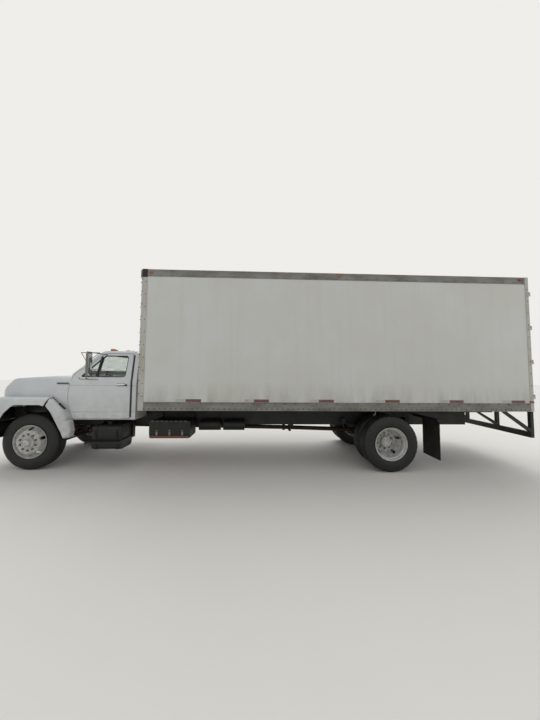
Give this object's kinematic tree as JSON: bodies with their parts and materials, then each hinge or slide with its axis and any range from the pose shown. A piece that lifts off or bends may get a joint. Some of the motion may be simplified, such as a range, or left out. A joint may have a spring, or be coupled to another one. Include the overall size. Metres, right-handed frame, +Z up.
{
  "type": "box truck",
  "caption": "Conventional box truck with a long van body, hinged doors, tilting hood, steered front wheels and dual rear wheels.",
  "frame": {"origin": "on the ground at the middle of the truck's length and width", "axes": "+X forward, +Y to the truck's left, +Z up"},
  "size_m": [10.1598, 2.6772, 3.66],
  "materials": {
    "white_paint": "semi-gloss, weathered",
    "panel_white": "satin glass-fibre panel, weathered",
    "rail_metal": "dull, dirty",
    "black_metal": "matt, dusty",
    "bare_steel": "dull, rusty",
    "cast_block": "matt",
    "wheel_paint": "satin, rust spots",
    "tyre_rubber": "matt, dusty",
    "soft_rubber": "matt",
    "window_glass": "clear, green tint",
    "lamp_lens": "clear lens",
    "headlamp_lens": "clear",
    "red_lens": "clear lens",
    "black_plastic": "grained",
    "seat_cloth": "woven vinyl and cloth",
    "deck_wood": "oiled hardwood",
    "chrome_trim": "polished"
  },
  "bodies": {
    "chassis": {"frame_rails": "black_metal", "front_bumper": "black_metal", "leaf_springs": "bare_steel", "spring_hangers": "black_metal", "front_axle": "black_metal", "rear_axle": "black_metal", "drive_shaft": "bare_steel", "engine_block": "cast_block", "radiator": "black_metal", "fuel_tank": "black_metal", "cross_members": "black_metal", "tool_box": "black_metal", "air_tanks": "black_metal", "exhaust_pipe": "bare_steel", "mud_flaps": "soft_rubber", "rear_guard": "black_metal", "cab_steps": "black_metal", "cab_shell": "white_paint", "cab_glass": "window_glass", "dashboard": "black_plastic", "steering_column": "black_plastic", "bench_seat": "seat_cloth", "fender_extensions": "white_paint", "body_floor": "deck_wood", "floor_beams": "black_metal", "side_panels": "panel_white", "front_wall": "panel_white", "roof_panel": "rail_metal", "bottom_rails": "rail_metal", "top_rails": "rail_metal", "corner_posts": "rail_metal", "rear_frame": "rail_metal", "marker_lamps": "lamp_lens", "tail_lamps": "red_lens"},
    "hood": {"hood_shell": "white_paint", "grille": "black_plastic", "headlamps": "headlamp_lens"},
    "tie_rod": {"tie_rod": "bare_steel"},
    "steering_wheel": {"steering_wheel": "black_plastic"},
    "cab_door_left": {"door_left": "white_paint", "door_glass_left": "window_glass", "door_mirror_left": "chrome_trim"},
    "cargo_door_left": {"rear_door_left": "panel_white", "lock_rods_left": "bare_steel"},
    "knuckle_left": {"knuckle_left": "black_metal"},
    "front_wheel_left": {"front_tyre_left": "tyre_rubber", "front_wheel_left": "wheel_paint"},
    "rear_wheels_left": {"rear_tyres_left": "tyre_rubber", "rear_wheels_left": "wheel_paint"},
    "cab_door_right": {"door_right": "white_paint", "door_glass_right": "window_glass", "door_mirror_right": "chrome_trim"},
    "cargo_door_right": {"rear_door_right": "panel_white", "lock_rods_right": "bare_steel"},
    "knuckle_right": {"knuckle_right": "black_metal"},
    "front_wheel_right": {"front_tyre_right": "tyre_rubber", "front_wheel_right": "wheel_paint"},
    "rear_wheels_right": {"rear_tyres_right": "tyre_rubber", "rear_wheels_right": "wheel_paint"}
  },
  "joints": [
    {"name": "hood_tilt", "type": "hinge", "parent": "chassis", "child": "hood", "pos_m": [4.975, 0, 0.925], "axis": [0, 1, 0], "range_deg": [0, 70]},
    {"name": "cab_door_left_swing", "type": "hinge", "parent": "chassis", "child": "cab_door_left", "pos_m": [3.58, 1, 1.3], "axis": [0, 0, -1], "range_deg": [0, 65]},
    {"name": "cargo_door_left_swing", "type": "hinge", "parent": "chassis", "child": "cargo_door_left", "pos_m": [-5.021, 1.225, 2.3], "axis": [0, 0, -1], "range_deg": [0, 258]},
    {"name": "steer_left", "type": "hinge", "parent": "chassis", "child": "knuckle_left", "pos_m": [4.28, 0.72, 0.505], "axis": [0, 0, 1], "range_deg": [-32, 32]},
    {"name": "front_wheel_left_spin", "type": "hinge", "parent": "knuckle_left", "child": "front_wheel_left", "pos_m": [4.28, 0.865, 0.505], "axis": [0, 1, 0], "continuous": true},
    {"name": "rear_wheels_left_spin", "type": "hinge", "parent": "chassis", "child": "rear_wheels_left", "pos_m": [-2.28, 0.925, 0.505], "axis": [0, 1, 0], "continuous": true},
    {"name": "cab_door_right_swing", "type": "hinge", "parent": "chassis", "child": "cab_door_right", "pos_m": [3.58, -1, 1.3], "axis": [0, 0, 1], "range_deg": [0, 65]},
    {"name": "cargo_door_right_swing", "type": "hinge", "parent": "chassis", "child": "cargo_door_right", "pos_m": [-5.021, -1.225, 2.3], "axis": [0, 0, 1], "range_deg": [0, 258]},
    {"name": "steer_right", "type": "hinge", "parent": "chassis", "child": "knuckle_right", "pos_m": [4.28, -0.72, 0.505], "axis": [0, 0, 1], "range_deg": [-32, 32]},
    {"name": "front_wheel_right_spin", "type": "hinge", "parent": "knuckle_right", "child": "front_wheel_right", "pos_m": [4.28, -0.865, 0.505], "axis": [0, 1, 0], "continuous": true},
    {"name": "rear_wheels_right_spin", "type": "hinge", "parent": "chassis", "child": "rear_wheels_right", "pos_m": [-2.28, -0.925, 0.505], "axis": [0, 1, 0], "continuous": true},
    {"name": "tie_rod_swing", "type": "hinge", "parent": "knuckle_left", "child": "tie_rod", "pos_m": [4.11, 0.72, 0.385], "axis": [0, 0, 1], "range_deg": [-32, 32]},
    {"name": "steering_wheel_turn", "type": "hinge", "parent": "chassis", "child": "steering_wheel", "pos_m": [3.16, 0.43, 1.56], "axis": [-0.788, 0, 0.6157], "range_deg": [-576, 576]}
  ],
  "couplings": [
    {"joint": "steer_right", "follows": "steer_left", "ratio": 1},
    {"joint": "tie_rod_swing", "follows": "steer_left", "ratio": -1},
    {"joint": "steering_wheel_turn", "follows": "steer_left", "ratio": 18}
  ]
}
